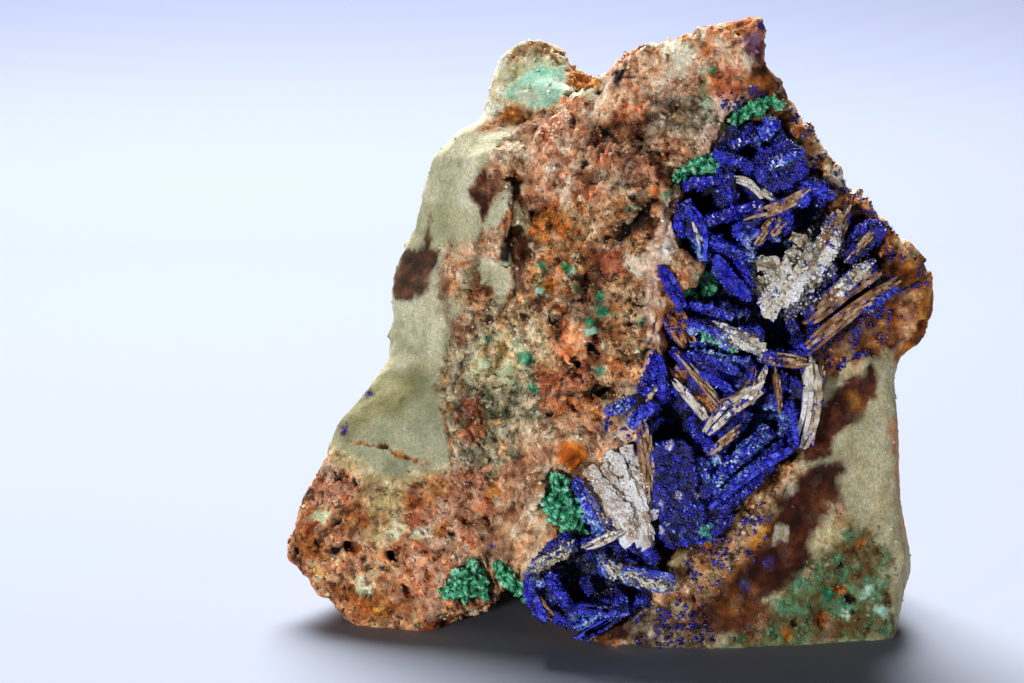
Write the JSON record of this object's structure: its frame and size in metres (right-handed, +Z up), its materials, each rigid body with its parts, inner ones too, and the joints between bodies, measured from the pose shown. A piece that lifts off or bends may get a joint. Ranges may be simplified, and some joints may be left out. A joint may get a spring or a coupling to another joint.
{
  "type": "malachite with azurite mineral specimen",
  "caption": "Upright broken lump of host rock with a hollow of blue azurite crystals and green malachite tufts, standing on a flat cut base.",
  "frame": {"origin": "middle of the bounding box of the whole specimen, on the surface it stands on", "axes": "+X to the right along the specimen's width, +Y away from the face with the hollow, +Z up"},
  "size_m": [0.081, 0.0518, 0.076],
  "materials": {
    "host_rock": "iron-stained limestone and clay rock, rough and granular, sage green on its flanks, matt",
    "azurite": "azurite druse on baryte blades, vitreous, deep blue",
    "malachite": "malachite tufts of fine needles, silky, green"
  },
  "bodies": {
    "root": {"host_rock": "host_rock", "azurite_crust": "azurite", "malachite_tuft_top": "malachite", "malachite_tuft_upper": "malachite", "malachite_tuft_middle": "malachite", "malachite_tuft_inner": "malachite", "malachite_tuft_lower": "malachite", "malachite_tuft_foot": "malachite", "malachite_tuft_arch": "malachite"}
  },
  "joints": []
}
